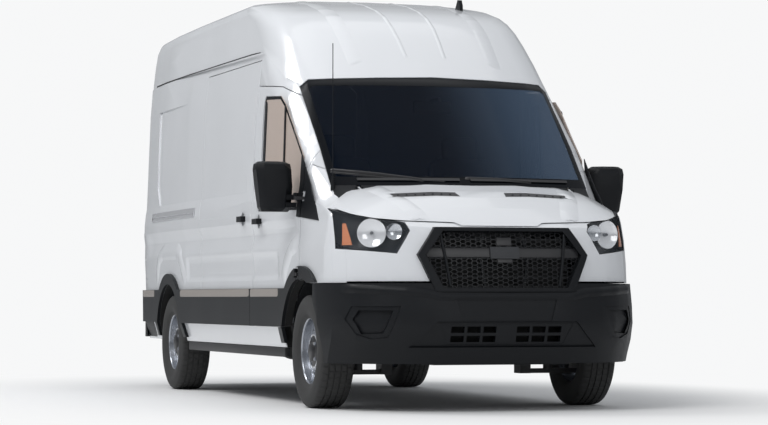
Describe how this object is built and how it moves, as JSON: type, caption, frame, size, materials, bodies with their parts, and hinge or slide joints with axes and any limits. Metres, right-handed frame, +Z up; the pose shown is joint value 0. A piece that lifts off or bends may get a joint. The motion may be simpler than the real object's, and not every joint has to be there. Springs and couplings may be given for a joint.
{
  "type": "high-roof panel van",
  "caption": "High-roof, long-wheelbase panel van with hinged cab doors, hood and rear doors, steered front wheels and a closed load space.",
  "frame": {"origin": "on the ground under the middle of the van's length and width", "axes": "+Z up, front of the van towards -Y, the van's left side towards +X"},
  "size_m": [2.5, 5.9796, 2.778],
  "materials": {
    "white_paint": "gloss",
    "black_plastic": "matte",
    "glass_dark": "gloss",
    "lens_clear": "gloss",
    "lamp_bowl": "gloss",
    "lamp_red": "gloss",
    "steel_wheel": "satin",
    "tyre_rubber": "matte",
    "black_steel": "satin",
    "cast_metal": "matte",
    "engine_metal": "matte",
    "floor_grey": "satin",
    "seat_fabric": "matte",
    "track_metal": "satin",
    "dash_plastic": "matte"
  },
  "bodies": {
    "body": {"windscreen": "glass_dark", "roof": "white_paint", "tail_lamps": "lamp_red", "side_left": "white_paint", "side_right": "white_paint", "sliding_door": "white_paint", "fenders": "white_paint", "nose_panel": "white_paint", "headlamps": "lamp_bowl", "headlamp_lenses": "lens_clear", "front_bumper": "black_plastic", "grille": "black_plastic", "side_mouldings": "black_plastic", "floor": "floor_grey", "wheel_housings": "black_plastic", "frame_rails": "black_steel", "engine_block": "engine_metal", "front_suspension": "black_steel", "rear_axle": "cast_metal", "leaf_springs": "black_steel", "seats": "seat_fabric", "dashboard": "dash_plastic", "steering_wheel": "dash_plastic", "rear_bumper": "black_plastic", "cowl": "black_plastic", "door_hinges": "black_steel", "slide_rail": "track_metal", "slide_handle": "black_plastic", "roof_gutters": "black_plastic", "antennas": "black_plastic", "wipers": "black_plastic", "underbody_units": "black_steel", "interior_mirror": "black_plastic", "radiator": "cast_metal"},
    "door_left": {"door_left": "white_paint", "door_left_glass": "glass_dark", "door_left_trim": "black_plastic", "mirror_left": "black_plastic"},
    "door_right": {"door_right": "white_paint", "door_right_glass": "glass_dark", "door_right_trim": "black_plastic", "mirror_right": "black_plastic"},
    "rear_door_left": {"rear_door_left": "white_paint", "rear_door_left_trim": "black_plastic"},
    "rear_door_right": {"rear_door_right": "white_paint", "rear_door_right_trim": "black_plastic"},
    "hood": {"hood": "white_paint", "hood_vents": "black_plastic"},
    "knuckle_left": {"knuckle_left": "cast_metal"},
    "knuckle_right": {"knuckle_right": "cast_metal"},
    "wheel_front_left": {"tyre_front_left": "tyre_rubber", "wheel_front_left": "steel_wheel"},
    "wheel_front_right": {"tyre_front_right": "tyre_rubber", "wheel_front_right": "steel_wheel"},
    "wheel_rear_left": {"tyre_rear_left": "tyre_rubber", "wheel_rear_left": "steel_wheel"},
    "wheel_rear_right": {"tyre_rear_right": "tyre_rubber", "wheel_rear_right": "steel_wheel"}
  },
  "joints": [
    {"name": "steer_left", "type": "hinge", "parent": "body", "child": "knuckle_left", "pos_m": [0.866, -1.9675, 0.356], "axis": [0, 0, 1], "range_deg": [-35, 35]},
    {"name": "steer_right", "type": "hinge", "parent": "body", "child": "knuckle_right", "pos_m": [-0.866, -1.9675, 0.356], "axis": [0, 0, 1], "range_deg": [-35, 35]},
    {"name": "spin_front_left", "type": "hinge", "parent": "knuckle_left", "child": "wheel_front_left", "pos_m": [0.866, -1.9675, 0.356], "axis": [1, 0, 0], "continuous": true},
    {"name": "spin_front_right", "type": "hinge", "parent": "knuckle_right", "child": "wheel_front_right", "pos_m": [-0.866, -1.9675, 0.356], "axis": [1, 0, 0], "continuous": true},
    {"name": "spin_rear_left", "type": "hinge", "parent": "body", "child": "wheel_rear_left", "pos_m": [0.8735, 1.7825, 0.356], "axis": [1, 0, 0], "continuous": true},
    {"name": "spin_rear_right", "type": "hinge", "parent": "body", "child": "wheel_rear_right", "pos_m": [-0.8735, 1.7825, 0.356], "axis": [1, 0, 0], "continuous": true},
    {"name": "open_door_left", "type": "hinge", "parent": "body", "child": "door_left", "pos_m": [1.026, -1.8855, 1.1], "axis": [0, 0, -1], "range_deg": [0, 70]},
    {"name": "open_door_right", "type": "hinge", "parent": "body", "child": "door_right", "pos_m": [-1.026, -1.8855, 1.1], "axis": [0, 0, 1], "range_deg": [0, 70]},
    {"name": "open_rear_left", "type": "hinge", "parent": "body", "child": "rear_door_left", "pos_m": [0.812, 2.9285, 0.64], "axis": [0, 0.0175, -0.9998], "range_deg": [0, 180]},
    {"name": "open_rear_right", "type": "hinge", "parent": "body", "child": "rear_door_right", "pos_m": [-0.812, 2.9285, 0.64], "axis": [0, -0.0175, 0.9998], "range_deg": [0, 180]},
    {"name": "lift_hood", "type": "hinge", "parent": "body", "child": "hood", "pos_m": [0, -2.1905, 1.37], "axis": [-1, 0, 0], "range_deg": [0, 60]}
  ],
  "couplings": [
    {"joint": "steer_right", "follows": "steer_left", "ratio": 1}
  ]
}
